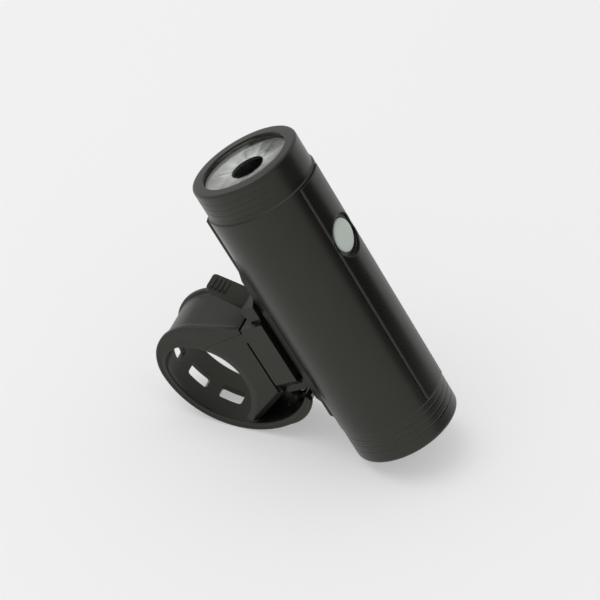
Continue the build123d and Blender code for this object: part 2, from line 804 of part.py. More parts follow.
# Release latch: a tongue in the floor with a tooth, ending in a ribbed thumb tab that slopes down
latch_top = floor_top - latch_drop
bend_station = latch_root + latch_straight
slope_x, slope_z = cos(radians(latch_tab_angle)), -sin(radians(latch_tab_angle))
bend_cut = latch_thickness * sin(radians(latch_tab_angle / 2)) / cos(radians(latch_tab_angle / 2))
tab_plane = Plane(
    origin=LIGHT.from_local_coords((bend_station, 0, latch_top)),
    x_dir=LIGHT.x_dir * slope_x + LIGHT.z_dir * slope_z,
    z_dir=LIGHT.z_dir * slope_x - LIGHT.x_dir * slope_z,
)
with BuildPart() as release_latch:
    with BuildSketch(beside(0)) as latch_profile:
        with BuildLine():
            Polyline(
                (latch_root, latch_top), (bend_station, latch_top),
                (bend_station + latch_tab_length * slope_x, latch_top + latch_tab_length * slope_z),
                (
                    bend_station + latch_tab_length * slope_x + latch_tab_thickness * slope_z,
                    latch_top + latch_tab_length * slope_z - latch_tab_thickness * slope_x,
                ),
                (bend_station - bend_cut, latch_top - latch_thickness),
                (latch_root, latch_top - latch_thickness), close=True,
            )
        make_face()
    extrude(amount=latch_half_width, both=True)
    tab_corners = release_latch.edges().filter_by(Axis(LIGHT.origin, tab_plane.z_dir))
    fillet(tab_corners.sort_by(Axis(LIGHT.origin, tab_plane.x_dir))[-2:], latch_tab_round)
    with BuildSketch(above(latch_top)):
        with Locations((latch_tooth_station, 0)):
            Rectangle(latch_tooth_length, 2 * latch_half_width)
    extrude(amount=flange_bottom - face_gap - latch_top)
    with BuildSketch(tab_plane):
        with Locations(*[(latch_tab_length - rib_pitch * (i + 1), 0) for i in range(latch_ribs)]):
            Rectangle(rib_width, rib_length)
    extrude(amount=rib_height)
    with BuildSketch(beside(0)):
        with Locations((pin_station, pin_height)):
            Circle(latch_pin_diameter / 2 + thread_clearance)
    extrude(amount=base_half_width, both=True, mode=Mode.SUBTRACT)
release_latch.part.label = "release_latch"
export_step(release_latch.part, "parts/release_latch.step")

with BuildPart() as latch_pin:
    with BuildSketch(beside(0)):
        with Locations((pin_station, pin_height)):
            Circle(latch_pin_diameter / 2)
    extrude(amount=latch_pin_length / 2, both=True)
latch_pin.part.label = "latch_pin"
export_step(latch_pin.part, "parts/latch_pin.step")

# Saddle: sits over the handlebar under the base, with a hook at the tail side for the strap
saddle_top = -floor_bottom
tail_tip = bar_point(bar_pad_r, saddle_tail_angle)
front_tip = bar_point(bar_pad_r, saddle_tip_angle)
arc_top = bar_point(bar_pad_r, 90)
hook_top = hook_height + hook_thickness / 2
hook_bottom = hook_height - hook_thickness / 2
with BuildPart() as saddle:
    with BuildSketch(beside(0)):
        with BuildLine():
            Polyline(
                front_tip, (saddle_front, saddle_top), (saddle_back, saddle_top),
                (tail_tip[0] - saddle_tip_width, tail_tip[1] + saddle_tip_width), tail_tip,
            )
            ThreePointArc(tail_tip, arc_top, front_tip)
        make_face()
    extrude(amount=base_half_width, both=True)
    tail_x = (saddle_back + tail_tip[0] - saddle_tip_width) / 2
    tail_z = (saddle_top + tail_tip[1] + saddle_tip_width) / 2
    tail_marks = [LIGHT.from_local_coords((tail_x, side * base_half_width, tail_z)) for side in (-1, 1)]
    chamfer([saddle.edges().sort_by_distance(mark)[0] for mark in tail_marks], saddle_chamfer)
    with BuildSketch(above(saddle_top)):
        with Locations(*[((saddle_back + reveal_end) / 2, side * base_half_width) for side in (-1, 1)]):
            Rectangle(reveal_end - saddle_back, 2 * reveal_depth)
    extrude(amount=-reveal_height, mode=Mode.SUBTRACT)
    with BuildSketch(beside(0)):
        with BuildLine():
            Polyline(
                (saddle_back, hook_top), (hook_back + hook_thickness, hook_top),
                (hook_back + hook_thickness, hook_top + hook_rise), (hook_back, hook_top + hook_rise),
                (hook_back, hook_bottom), (saddle_back, hook_bottom), close=True,
            )
        make_face()
    extrude(amount=hook_half_width, both=True)
    with BuildSketch(beside(0)):
        with Locations((bead_station, bead_height)):
            Circle(bead_diameter / 2 + face_gap)
        with Locations((bead_station + saddle_front - bead_station, bead_height)):
            Rectangle(2 * (saddle_front - bead_station), bead_neck + 2 * face_gap)
    extrude(amount=bead_half_length + face_gap, both=True, mode=Mode.SUBTRACT)
    with BuildSketch(above(saddle_top)):
        with Locations(((latch_root + saddle_front) / 2, 0)):
            Rectangle(saddle_front - latch_root, 2 * latch_slot_half_width)
    extrude(amount=-latch_relief, mode=Mode.SUBTRACT)
    screw_axis = above(arc_top[1]).location * Pos(bar_station, 0, 0)
    with Locations(*[screw_axis * Pos(0, y, 0) * Rot(180, 0, 0) for y in saddle_screw_places]):
        CounterSinkHole(saddle_hole_r, saddle_sink_r, 4 * base_half_width)
saddle.part.label = "saddle"
export_step(saddle.part, "parts/saddle.step")

# Countersunk screws from the handlebar side up into the base's floor
with BuildPart() as saddle_screws:
    for y in saddle_screw_places:
        head = arc_top[1] + screw_inset
        with BuildSketch(beside(y)):
            with BuildLine():
                Polyline(
                    (bar_station, head), (bar_station + saddle_screw_head / 2 - screw_inset, head),
                    (
                        bar_station + saddle_screw_diameter / 2,
                        arc_top[1] + (saddle_screw_head - saddle_screw_diameter) / 2,
                    ),
                    (bar_station + saddle_screw_diameter / 2, saddle_top + screw_reach),
                    (bar_station, saddle_top + screw_reach), close=True,
                )
            make_face()
        revolve(axis=Axis(LIGHT.from_local_coords((bar_station, y, 0)), LIGHT.z_dir))
saddle_screws.part.label = "saddle_screws"
export_step(saddle_screws.part, "parts/saddle_screws.step")

# Rubber pad that lines the saddle
pad_start_angle = saddle_tip_angle + pad_front_inset
pad_end_angle = saddle_tail_angle - pad_tail_inset
with BuildPart() as saddle_pad:
    with BuildSketch(beside(0)):
        with BuildLine():
            outer = [bar_point(bar_pad_r, a) for a in (pad_start_angle, 90, pad_end_angle)]
            inner = [bar_point(bar_r, a) for a in (pad_start_angle, 90, pad_end_angle)]
            ThreePointArc(*outer)
            Line(outer[2], inner[2])
            ThreePointArc(*inner)
            Line(inner[0], outer[0])
        make_face()
    extrude(amount=base_half_width, both=True)
saddle_pad.part.label = "saddle_pad"
export_step(saddle_pad.part, "parts/saddle_pad.step")

# Strap: a moulded rubber loop, a slotted web between two thick rims, anchored by a bead at its root
root_inner = saddle_front + face_gap
foot_angle = saddle_tip_angle - strap_foot_inset


def strap_outline(thickness, corner_radius):
    """Closed side outline of the strap for one thickness over its inner face."""
    ring_radius = strap_inner_radius + thickness
    reach = ring_radius - corner_radius
    centre = strap_point(reach, strap_corner_angle)
    root_outer = (root_inner + strap_root_thickness, strap_root_height)
    run, rise = root_outer[0] - centre[0], root_outer[1] - centre[1]
    touch_turn = atan2(rise, run) - acos(corner_radius / hypot(run, rise))
    half_turn = (touch_turn + radians(strap_corner_angle - 360)) / 2
    corner_start = (
        centre[0] + corner_radius * cos(touch_turn), centre[1] + corner_radius * sin(touch_turn)
    )
    corner_mid = (centre[0] + corner_radius * cos(half_turn), centre[1] + corner_radius * sin(half_turn))
    ring_corner = strap_point(ring_radius, strap_corner_angle)
    ring_mid = strap_point(ring_radius, (strap_corner_angle + strap_tail_angle) / 2)
    ring_tail = strap_point(ring_radius, strap_tail_angle)
    inner_tail = strap_point(strap_inner_radius, strap_tail_angle)
    inner_mid = strap_point(strap_inner_radius, (strap_corner_angle + strap_tail_angle) / 2)
    inner_corner = strap_point(strap_inner_radius, strap_corner_angle)
    heading = (sin(radians(strap_tail_angle)), -cos(radians(strap_tail_angle)))
    corner_heading = (-sin(radians(strap_corner_angle)), cos(radians(strap_corner_angle)))
    end_inner = (strap_end_station, strap_end_height)
    end_outer = (end_inner[0] - thickness * strap_end_run, end_inner[1] + thickness * strap_end_rise)
    bar_touch = bar_point(bar_r, strap_touch_angle)
    root_foot = bar_point(bar_r, foot_angle)
    root_side = (front_tip[0] + strap_root_gap, front_tip[1])
    root_top = (root_inner, strap_root_height)
    Line(root_outer, corner_start)
    ThreePointArc(corner_start, corner_mid, ring_corner)
    ThreePointArc(ring_corner, ring_mid, ring_tail)
    ThreePointArc(ring_tail, strap_point(ring_radius + strap_bulge, strap_bulge_angle), end_outer)
    Line(end_outer, end_inner)
    TangentArc(inner_tail, end_inner, tangent=heading)
    ThreePointArc(inner_tail, inner_mid, inner_corner)
    TangentArc(inner_corner, bar_touch, tangent=corner_heading)
    ThreePointArc(bar_touch, bar_point(bar_r, (strap_touch_angle + foot_angle) / 2), root_foot)
    Polyline(root_foot, root_side, root_top, root_outer)


web_half_width = strap_half_width - strap_rim_width
with BuildPart() as strap:
    with BuildSketch(beside(strap_half_width)):
        with BuildLine():
            strap_outline(strap_rim_thickness, strap_corner_radius)
        make_face()
    extrude(amount=strap_rim_width)
    with BuildSketch(beside(-web_half_width)):
        with BuildLine():
            strap_outline(strap_rim_thickness, strap_corner_radius)
        make_face()
    extrude(amount=strap_rim_width)
    with BuildSketch(beside(web_half_width)):
        with BuildLine():
            strap_outline(strap_web_thickness, strap_web_corner_radius)
        make_face()
    extrude(amount=2 * web_half_width)
    with BuildSketch(beside(bead_half_length)):
        with Locations((bead_station, bead_height)):
            Circle(bead_diameter / 2)
        with Locations(((bead_station + root_inner) / 2 + bead_neck / 2, bead_height)):
            Rectangle(root_inner - bead_station + bead_neck, bead_neck)
    extrude(amount=2 * bead_half_length)
    slot_angles = [slot_first_angle - i * slot_pitch_angle for i in range(slot_count)]
    for angle in slot_angles + [hook_slot_angle]:
        middle = strap_point(strap_web_radius, angle)
        outward = LIGHT.x_dir * cos(radians(angle)) + LIGHT.z_dir * sin(radians(angle))
        along = LIGHT.z_dir * cos(radians(angle)) - LIGHT.x_dir * sin(radians(angle))
        slot_plane = Plane(
            origin=LIGHT.from_local_coords((middle[0], 0, middle[1])), x_dir=along, z_dir=outward
        )
        with BuildSketch(slot_plane):
            RectangleRounded(slot_length, 2 * slot_half_width, slot_corner)
        extrude(amount=2 * strap_web_thickness, both=True, mode=Mode.SUBTRACT)
strap.part.label = "strap"
export_step(strap.part, "parts/strap.step")

print("lean", lean, "origin_shift", origin_shift, "table_drop", table_drop)
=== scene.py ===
"""Studio scene of a handlebar bike light: a ribbed tube light on a slide-in mount with a rubber strap."""

import json
import logging
import math
from dataclasses import dataclass
from enum import Enum

import bmesh
import bpy
import numpy as np
from mathutils import Matrix, Vector


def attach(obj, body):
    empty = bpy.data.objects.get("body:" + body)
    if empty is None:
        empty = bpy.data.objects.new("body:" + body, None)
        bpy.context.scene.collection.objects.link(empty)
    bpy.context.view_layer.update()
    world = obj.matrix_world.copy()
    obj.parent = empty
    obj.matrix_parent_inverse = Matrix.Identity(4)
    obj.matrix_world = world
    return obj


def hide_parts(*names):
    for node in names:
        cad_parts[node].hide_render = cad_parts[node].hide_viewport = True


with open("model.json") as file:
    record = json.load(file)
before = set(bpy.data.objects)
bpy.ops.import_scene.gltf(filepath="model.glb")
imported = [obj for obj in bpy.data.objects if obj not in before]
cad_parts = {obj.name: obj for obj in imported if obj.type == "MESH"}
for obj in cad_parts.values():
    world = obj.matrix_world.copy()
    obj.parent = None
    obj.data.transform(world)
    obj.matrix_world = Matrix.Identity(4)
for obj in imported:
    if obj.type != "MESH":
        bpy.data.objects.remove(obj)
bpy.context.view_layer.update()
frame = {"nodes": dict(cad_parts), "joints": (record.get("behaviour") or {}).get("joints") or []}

LOG = logging.getLogger("bike_light")
MM = 0.001
SMOOTH_ANGLE = 35.0
BEVEL_SAMPLES = 6
WHITE = (1.0, 1.0, 1.0, 1.0)


# Axes and curves, in the light's millimetres

@dataclass(frozen=True)
class LightAxes:
    """The light's own axes inside the part's frame: x from tail to lens, y along the bar, z to the deck."""

    tail_length: float = 11.3

    @property
    def tail_joint(self) -> dict:
        """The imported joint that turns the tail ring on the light's axis."""
        return next(j for j in frame["joints"] if j["name"] == "tail_ring_unscrew")

    @property
    def basis(self) -> np.ndarray:
        """Rows are the light's x, y and z directions in the part's frame."""
        x_dir = np.array(self.tail_joint["axis"], float)
        return np.array([x_dir, [0.0, 1.0, 0.0], [-x_dir[2], 0.0, x_dir[0]]])

    @property
    def origin(self) -> np.ndarray:
        """The point on the light's axis at its tail end, in metres."""
        return np.array(self.tail_joint["pos_m"], float) - self.basis[0] * self.tail_length / 2 * MM

    def to_part(self, points: np.ndarray) -> np.ndarray:
        """Turn points in the light's millimetres into the part's metres.

        Args:
            points: array of shape (..., 3), millimetres on the light's axes.

        Returns:
            Array of the same shape in the part's frame: origin + x * X + y * Y + z * Z.
        """
        return self.origin + np.asarray(points, float) * MM @ self.basis


AXES = LightAxes()


def straight(start: tuple, end: tuple, count: int) -> np.ndarray:
    """Points on a straight run: start + (end - start) * t for t from 0 to 1."""
    t = np.linspace(0, 1, count)[:, None]
    return np.array(start) * (1 - t) + np.array(end) * t


def ring_arc(centre: tuple, radius: float, first: float, last: float, count: int) -> np.ndarray:
    """Points centre + radius * (cos a, sin a), with a from first to last in degrees."""
    angle = np.radians(np.linspace(first, last, count))
    return np.array(centre) + radius * np.stack([np.cos(angle), np.sin(angle)], 1)


def arc_through(start: tuple, middle: tuple, end: tuple, count: int) -> np.ndarray:
    """Points on the circle through three points.

    The centre solves 2 (p - start) . c = |p|^2 - |start|^2 for the other two points, and the angle
    runs evenly from start to end by way of the middle point.

    Args:
        start, middle, end: the three points.
        count: how many points.

    Returns:
        Array of shape (count, 2).
    """
    start, middle, end = (np.array(p, float) for p in (start, middle, end))
    rows = 2 * np.array([middle - start, end - start])
    centre = np.linalg.solve(rows, [middle @ middle - start @ start, end @ end - start @ start])
    turns = [math.atan2(*(p - centre)[::-1]) for p in (start, middle, end)]
    full = (turns[2] - turns[0]) % (2 * math.pi)
    if (turns[1] - turns[0]) % (2 * math.pi) > full:
        full -= 2 * math.pi
    angle = np.linspace(turns[0], turns[0] + full, count)
    return centre + np.linalg.norm(start - centre) * np.stack([np.cos(angle), np.sin(angle)], 1)


def arc_leaving(start: tuple, heading: tuple, end: tuple, count: int) -> np.ndarray:
    """Points on the circle that leaves start along heading and ends at end.

    With n the heading turned a quarter turn, the centre is start + n * |d|^2 / (2 n . d), d = end - start.

    Args:
        start: first point.
        heading: direction of travel there.
        end: last point.
        count: how many points.

    Returns:
        Array of shape (count, 2).
    """
    start, end = np.array(start, float), np.array(end, float)
    normal = np.array([-heading[1], heading[0]], float)
    run = end - start
    centre = start + normal * (run @ run) / (2 * normal @ run)
    first = math.atan2(*(start - centre)[::-1])
    turn = (math.atan2(*(end - centre)[::-1]) - first) % (2 * math.pi)
    if normal @ run < 0:
        turn -= 2 * math.pi
    angle = np.linspace(first, first + turn, count)
    return centre + np.linalg.norm(start - centre) * np.stack([np.cos(angle), np.sin(angle)], 1)


def chain(*runs: np.ndarray) -> np.ndarray:
    """Join runs end to end, leaving out each run's first point where it repeats the last one."""
    return np.concatenate([runs[0]] + [run[1:] for run in runs[1:]])


def respaced(points: np.ndarray, count: int) -> np.ndarray:
    """Space a path anew, at even steps of its length.

    Args:
        points: the path, of shape (n, 2).
        count: how many points to give it.

    Returns:
        Array of shape (count, 2).
    """
    reach = np.concatenate([[0], np.cumsum(np.linalg.norm(np.diff(points, axis=0), axis=1))])
    steps = np.linspace(0, reach[-1], count)
    return np.stack([np.interp(steps, reach, points[:, axis]) for axis in range(2)], 1)


def rounded_box(width: float, height: float, corner: float, count: int) -> np.ndarray:
    """Outline of a rectangle about the origin with rounded corners.

    Args:
        width, height: its size.
        corner: radius of the corners.
        count: how many points each corner gets.

    Returns:
        Array of shape (4 * count, 2).
    """
    x, y = width / 2 - corner, height / 2 - corner
    places = ((x, y, 0), (-x, y, 90), (-x, -y, 180), (x, -y, 270))
    arcs = [ring_arc((cx, cy), corner, first, first + 90, count) for cx, cy, first in places]
    return np.concatenate(arcs)


def eased(s: np.ndarray) -> np.ndarray:
    """Soft step from 0 to 1: s * s * (3 - 2 * s)."""
    return s * s * (3 - 2 * s)


def grid_faces(rows: int, columns: int, wrap_rows: bool) -> np.ndarray:
    """Quads over a grid of points whose last column joins the first.

    Args:
        rows, columns: the grid's size.
        wrap_rows: whether the last row joins the first too.

    Returns:
        Array of shape (quads, 4) of point indices.
    """
    i = np.arange(rows if wrap_rows else rows - 1)[:, None]
    j = np.arange(columns)[None, :]
    i_next, j_next = (i + 1) % rows, (j + 1) % columns
    quads = [i * columns + j, i * columns + j_next, i_next * columns + j_next, i_next * columns + j]
    return np.stack([np.broadcast_to(q, (i.size, j.size)) for q in quads], -1).reshape(-1, 4)


def capped(rings: np.ndarray) -> tuple:
    """Skin a stack of closed rings and close both ends.

    Args:
        rings: array of shape (rows, columns, 3), in the light's millimetres.

    Returns:
        Points in the part's metres and the faces.
    """
    rows, columns = rings.shape[:2]
    caps = [list(range(columns)), list(range((rows - 1) * columns, rows * columns))]
    faces = grid_faces(rows, columns, False).tolist() + caps
    return AXES.to_part(rings.reshape(-1, 3)), faces


def make_piece(
    name: str, points: np.ndarray, faces: list, smooth_angle: float = SMOOTH_ANGLE
) -> bpy.types.Object:
    """Make a mesh object at the origin from points in the part's metres.

    Args:
        name: the object's name.
        points: array of shape (n, 3).
        faces: index lists.
        smooth_angle: edges sharper than this many degrees stay sharp.

    Returns:
        The linked object, shaded smooth between its sharp edges.
    """
    mesh = bpy.data.meshes.new(name)
    mesh.from_pydata(points.tolist(), [], [list(map(int, f)) for f in faces])
    mesh.validate()
    turned = bmesh.new()
    turned.from_mesh(mesh)
    bmesh.ops.recalc_face_normals(turned, faces=turned.faces)
    turned.to_mesh(mesh)
    turned.free()
    mesh.polygons.foreach_set("use_smooth", np.ones(len(mesh.polygons), bool))
    mesh.set_sharp_from_angle(angle=math.radians(smooth_angle))
    piece = bpy.data.objects.new(name, mesh)
    bpy.context.scene.collection.objects.link(piece)
    return piece


# Materials

class Wire:
    """A node's output that takes part in plain arithmetic and adds the Math nodes it needs."""

    def __init__(self, shader: "Shader", socket: bpy.types.NodeSocket) -> None:
        """Keep the shader and the socket."""
        self.shader = shader
        self.socket = socket

    def _math(self, operation: str, *values: object) -> "Wire":
        """Add one Math node."""
        return self.shader.node("ShaderNodeMath", {"operation": operation}, dict(enumerate(values)))

    def __add__(self, other: object) -> "Wire":
        """Sum."""
        return self._math("ADD", self, other)

    def __sub__(self, other: object) -> "Wire":
        """Difference."""
        return self._math("SUBTRACT", self, other)

    def __rsub__(self, other: object) -> "Wire":
        """Difference the other way round."""
        return self._math("SUBTRACT", other, self)

    def __mul__(self, other: object) -> "Wire":
        """Product."""
        return self._math("MULTIPLY", self, other)


class Shader:
    """A material's node tree."""

    def __init__(self, name: str) -> None:
        """Make an empty material with its output node.

        Args:
            name: the material's name.
        """
        self.material = bpy.data.materials.new(name)
        self.material.use_nodes = True
        self.tree = self.material.node_tree
        self.tree.nodes.clear()
        self.output = self.tree.nodes.new("ShaderNodeOutputMaterial")

    def node(
        self, kind: str, settings: dict | None = None, inputs: dict | None = None, out: object = 0
    ) -> Wire:
        """Add a node.

        Args:
            kind: the node's type.
            settings: properties set before the sockets; "stops" gives a ramp's two (position, colour).
            inputs: socket name or index to a value or a Wire.
            out: name or index of the output to return.

        Returns:
            The wrapped output.
        """
        node = self.tree.nodes.new(kind)
        for key, value in (settings or {}).items():
            if key == "stops":
                for element, (position, colour) in zip(node.color_ramp.elements, value):
                    element.position = position
                    element.color = colour
            else:
                setattr(node, key, value)
        for key, value in (inputs or {}).items():
            if isinstance(value, Wire):
                self.tree.links.new(value.socket, node.inputs[key])
            else:
                node.inputs[key].default_value = value
        return Wire(self, node.outputs[out])

    def surface(self, shader: Wire) -> bpy.types.Material:
        """Link a shader to the output and return the material."""
        self.tree.links.new(shader.socket, self.output.inputs["Surface"])
        return self.material

    def principled(self, inputs: dict) -> bpy.types.Material:
        """Link one principled surface to the output and return the material."""
        return self.surface(self.node("ShaderNodeBsdfPrincipled", {}, inputs, "BSDF"))

    @property
    def place(self) -> Wire:
        """Object coordinates, in metres."""
        return self.node("ShaderNodeTexCoord", out="Object")

    def noise(self, size: float, detail: float = 2.0, roughness: float = 0.5) -> Wire:
        """Noise from 0 to 1 with features about size metres across."""
        inputs = {"Vector": self.place, "Scale": 1 / size, "Detail": detail, "Roughness": roughness}
        return self.node("ShaderNodeTexNoise", {}, inputs, "Fac")

    def ramp(self, factor: Wire, low: tuple, high: tuple, start: float = 0.0, end: float = 1.0) -> Wire:
        """Colour that goes from low to high as the factor goes from start to end."""
        stops = [(start, (*low, 1.0)), (end, (*high, 1.0))]
        return self.node("ShaderNodeValToRGB", {"stops": stops}, {"Fac": factor}, "Color")

    def rounded(self, radius: float) -> Wire:
        """Normal that rounds each sharp edge by radius metres."""
        return self.node("ShaderNodeBevel", {"samples": BEVEL_SAMPLES}, {"Radius": radius}, "Normal")

    def bump(self, height: Wire, depth: float, normal: Wire) -> Wire:
        """The given normal, tilted as on a surface raised by height times depth metres."""
        inputs = {"Height": height, "Distance": depth, "Strength": 1.0, "Normal": normal}
        return self.node("ShaderNodeBump", {}, inputs, "Normal")


def linear(red: float, green: float, blue: float) -> tuple:
    """Scene-linear colour of display values from 0 to 255, by the usual display curve."""
    shown = np.array([red, green, blue]) / 255
    return tuple(np.where(shown <= 0.04045, shown / 12.92, ((shown + 0.055) / 1.055) ** 2.4).tolist())


@dataclass(frozen=True)
class Finish:
    """A finish with a grained, slightly uneven surface and eased edges."""

    name: str
    colour: tuple
    shade: float = 0.85
    roughness: float = 0.4
    roughness_spread: float = 0.05
    grain_size: float = 0.0004
    grain_depth: float = 0.000004
    edge_radius: float = 0.0002
    metallic: float = 0.0
    specular: float = 0.5
    sheen_colour: tuple = (0.97, 1.0, 0.83)
    coat: float = 0.0
    coat_roughness: float = 0.1
    cloud_size: float = 0.012
    cloud_detail: float = 3.0
    cloud_stops: tuple = (0.35, 0.65)
    grain_detail: float = 2.0
    grain_roughness: float = 0.6

    def material(self) -> bpy.types.Material:
        """Build the material: cloudy colour and roughness, fine grain in the bump, rounded edges.

        Returns:
            The material, with Object coordinates in metres.
        """
        shader = Shader(self.name)
        cloud = shader.noise(self.cloud_size, self.cloud_detail)
        grain = shader.noise(self.grain_size, self.grain_detail, self.grain_roughness)
        dark = tuple(c * self.shade for c in self.colour)
        normal = shader.bump(grain, self.grain_depth, shader.rounded(self.edge_radius))
        rough = cloud * self.roughness_spread + (self.roughness - self.roughness_spread / 2)
        inputs = {
            "Base Color": shader.ramp(cloud, dark, self.colour, *self.cloud_stops),
            "Roughness": rough + (grain - 0.5) * self.roughness_spread,
            "Metallic": self.metallic,
            "Specular IOR Level": self.specular,
            "Specular Tint": (*self.sheen_colour, 1.0),
            "Coat Weight": self.coat,
            "Coat Roughness": self.coat_roughness,
            "Normal": normal,
        }
        return shader.principled(inputs)


@dataclass(frozen=True)
class PaintedRayMirror:
    """A pressed mirror whose rays differ in smoothness and in painted reflection, brightest by the port.

    Its UV map holds 0.5 + direction * (1 + s) / 4, with s from 0 at the port to 1 at the rim.
    """

    name: str
    dull: tuple
    # painted reflection: the colour of the brightest rays
    bright: tuple
    ray_map: str = "ray_map"
    map_middle: tuple = (0.5, 0.5, 0.0)
    ray_scale: float = 2.6
    ray_detail: float = 3.0
    ray_roughness: float = 0.6
    bright_reach: float = 0.36
    bright_gain: float = 1.6
    polish_start: float = 0.4
    polish_end: float = 0.68
    smooth_roughness: float = 0.1
    dull_roughness: float = 0.2
    edge_radius: float = 0.00005

    def material(self) -> bpy.types.Material:
        """Build the material: noise on the direction alone makes rays, smooth or dull, with painted light.

        With d the distance from the map's middle, the rays' smoothness and painted brightness follow
        noise + (bright_reach - d) * bright_gain, stretched so that polish_start to polish_end becomes 0 to
        1.

        Returns:
            The material, on the piece's own UV map.
        """
        shader = Shader(self.name)
        place = shader.node("ShaderNodeUVMap", {"uv_map": self.ray_map}, out="UV")
        inputs = {0: place, 1: self.map_middle}
        spoke = shader.node("ShaderNodeVectorMath", {"operation": "SUBTRACT"}, inputs, 0)
        direction = shader.node("ShaderNodeVectorMath", {"operation": "NORMALIZE"}, {0: spoke}, 0)
        distance = shader.node("ShaderNodeVectorMath", {"operation": "LENGTH"}, {0: spoke}, "Value")
        inputs = {
            "Vector": direction, "Scale": self.ray_scale, "Detail": self.ray_detail,
            "Roughness": self.ray_roughness,
        }
        ray = shader.node("ShaderNodeTexNoise", {}, inputs, "Fac")
        inputs = {
            "Value": ray + (self.bright_reach - distance) * self.bright_gain,
            "From Min": self.polish_start,
            "From Max": self.polish_end,
        }
        polish_and_painted_rays = shader.node("ShaderNodeMapRange", {}, inputs, "Result")
        inputs = {
            # painted reflection: the colour goes from dull to bright with the rays, brightest by the port
            "Base Color": shader.ramp(polish_and_painted_rays, self.dull, self.bright),
            "Roughness": polish_and_painted_rays * (self.smooth_roughness - self.dull_roughness) + self.dull_roughness,
            "Metallic": 1.0,
            "Normal": shader.rounded(self.edge_radius),
        }
        return shader.principled(inputs)


@dataclass(frozen=True)
class ClearGlass:
    """A solid clear window with a faint bloom."""

    name: str
    tint: tuple = (0.97, 0.98, 0.98)
    roughness: float = 0.015
    bloom: float = 0.02
    bloom_size: float = 0.006
    index: float = 1.49

    def material(self) -> bpy.types.Material:
        """Build the material: glass that bends what shows through it, and casts no shadow.

        Returns:
            The material.
        """
        shader = Shader(self.name)
        inputs = {
            "Base Color": (*self.tint, 1.0),
            "Roughness": shader.noise(self.bloom_size) * self.bloom + self.roughness,
            "Transmission Weight": 1.0,
            "IOR": self.index,
        }
        glass = shader.node("ShaderNodeBsdfPrincipled", {}, inputs, "BSDF")
        clear = shader.node("ShaderNodeBsdfTransparent", {}, {"Color": (*self.tint, 1.0)}, "BSDF")
        shadow = shader.node("ShaderNodeLightPath", out="Is Shadow Ray")
        inputs = {0: shadow, 1: glass, 2: clear}
        return shader.surface(shader.node("ShaderNodeMixShader", {}, inputs, "Shader"))


class Look(Enum):
    """The finishes of the light, by the piece's kind."""

    TUBE = Finish("satin_tube", linear(23, 24, 22), roughness=0.3)
    RING = Finish("satin_ring", linear(25, 26, 24), roughness=0.33)
    DECK = Finish("satin_deck", linear(22, 23, 21), roughness=0.28, edge_radius=0.0005)
    PLASTIC = Finish(
        "moulded_black", linear(25, 27, 24), roughness=0.45, edge_radius=0.0003, grain_depth=0.000008
    )
    RUBBER = Finish(
        "strap_rubber", linear(25, 27, 24), shade=0.62, roughness=0.36, roughness_spread=0.2,
        cloud_size=0.007, specular=0.45, edge_radius=0.00025, grain_depth=0.000006,
    )
    LINING = Finish("lining_rubber", linear(31, 33, 30), roughness=0.36, edge_radius=0.0003)
    SEAL = Finish("seal_rubber", linear(24, 24, 23), roughness=0.6, specular=0.35)
    BUTTON = Finish(
        "pale_button", linear(188, 196, 189), shade=0.97, roughness=0.35, grain_depth=0.000001,
        edge_radius=0.0001,
    )
    # painted reflection: rays painted into the dish's colour, brightest by the port
    DISH = PaintedRayMirror("polished_dish", linear(200, 202, 193), linear(253, 253, 249))
    BOARD = Finish("circuit_green", linear(28, 92, 58), roughness=0.35, coat=0.4)
    # painted shade: the LED collar and emitter are near-black so that the port reads as a dark hole
    PAINTED_SHADE_WELL = Finish("painted_shade_well", (0.002, 0.002, 0.002), roughness=0.6, specular=0.1)
    PAINTED_SHADE_EMITTER = Finish("painted_shade_led_dome", (0.004, 0.004, 0.004), roughness=0.25, specular=0.2)
    ALUMINIUM = Finish("turned_aluminium", linear(205, 205, 208), roughness=0.3, metallic=1.0)
    WRAP = Finish("cell_wrap", linear(44, 84, 140), roughness=0.3, coat=0.3)
    NICKEL = Finish("plated_steel", linear(196, 194, 188), roughness=0.25, metallic=1.0)
    BLACK_STEEL = Finish("black_steel", linear(88, 88, 84), roughness=0.35, metallic=1.0)
    LENS = ClearGlass("clear_lens")


NODE_LOOKS = {
    Look.TUBE: ("barrel_tube",),
    Look.RING: ("front_bezel", "tail_ring"),
    Look.DECK: ("deck_cover",),
    Look.PLASTIC: (
        "keel_rail", "slide_base", "release_latch", "tail_plate", "cradle_front", "cradle_rear",
        "tact_switch",
    ),
    Look.PAINTED_SHADE_WELL: ("led_collar",),
    Look.RUBBER: ("saddle", "saddle_pad", "strap"),
    Look.SEAL: ("lens_seal", "tail_seal", "usb_flap"),
    Look.BUTTON: ("button_cap",),
    Look.DISH: ("reflector",),
    Look.BOARD: ("circuit_board", "led_board"),
    Look.PAINTED_SHADE_EMITTER: ("led_emitter",),
    Look.ALUMINIUM: ("heat_sink",),
    Look.WRAP: ("battery_cell",),
    Look.NICKEL: ("contact_front", "contact_rear", "usb_socket", "latch_pin"),
    Look.BLACK_STEEL: ("rail_screws", "saddle_screws"),
    Look.LENS: ("front_lens",),
}


class Wardrobe:
    """Makes each finish once and puts it on nodes and pieces."""

    def __init__(self) -> None:
        """Build every material."""
        self.materials = {look: look.value.material() for look in Look}

    def dress(self, thing: bpy.types.Object, look: Look) -> None:
        """Give an object one finish."""
        thing.data.materials.clear()
        thing.data.materials.append(self.materials[look])

    def dress_nodes(self) -> None:
        """Give every CAD node its finish."""
        for look, names in NODE_LOOKS.items():
            for name in names:
                self.dress(frame["nodes"][name], look)


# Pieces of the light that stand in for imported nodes

def stand_in(piece: bpy.types.Object, body: str, nodes: tuple) -> None:
    """Put a finished piece in place of the nodes it stands for.

    Args:
        piece: the piece.
        body: the body it rides on.
        nodes: the names of the nodes it replaces.
    """
    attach(piece, body)
    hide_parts(*nodes)
    LOG.info("%s: %d faces for %s", piece.name, len(piece.data.polygons), ", ".join(nodes))


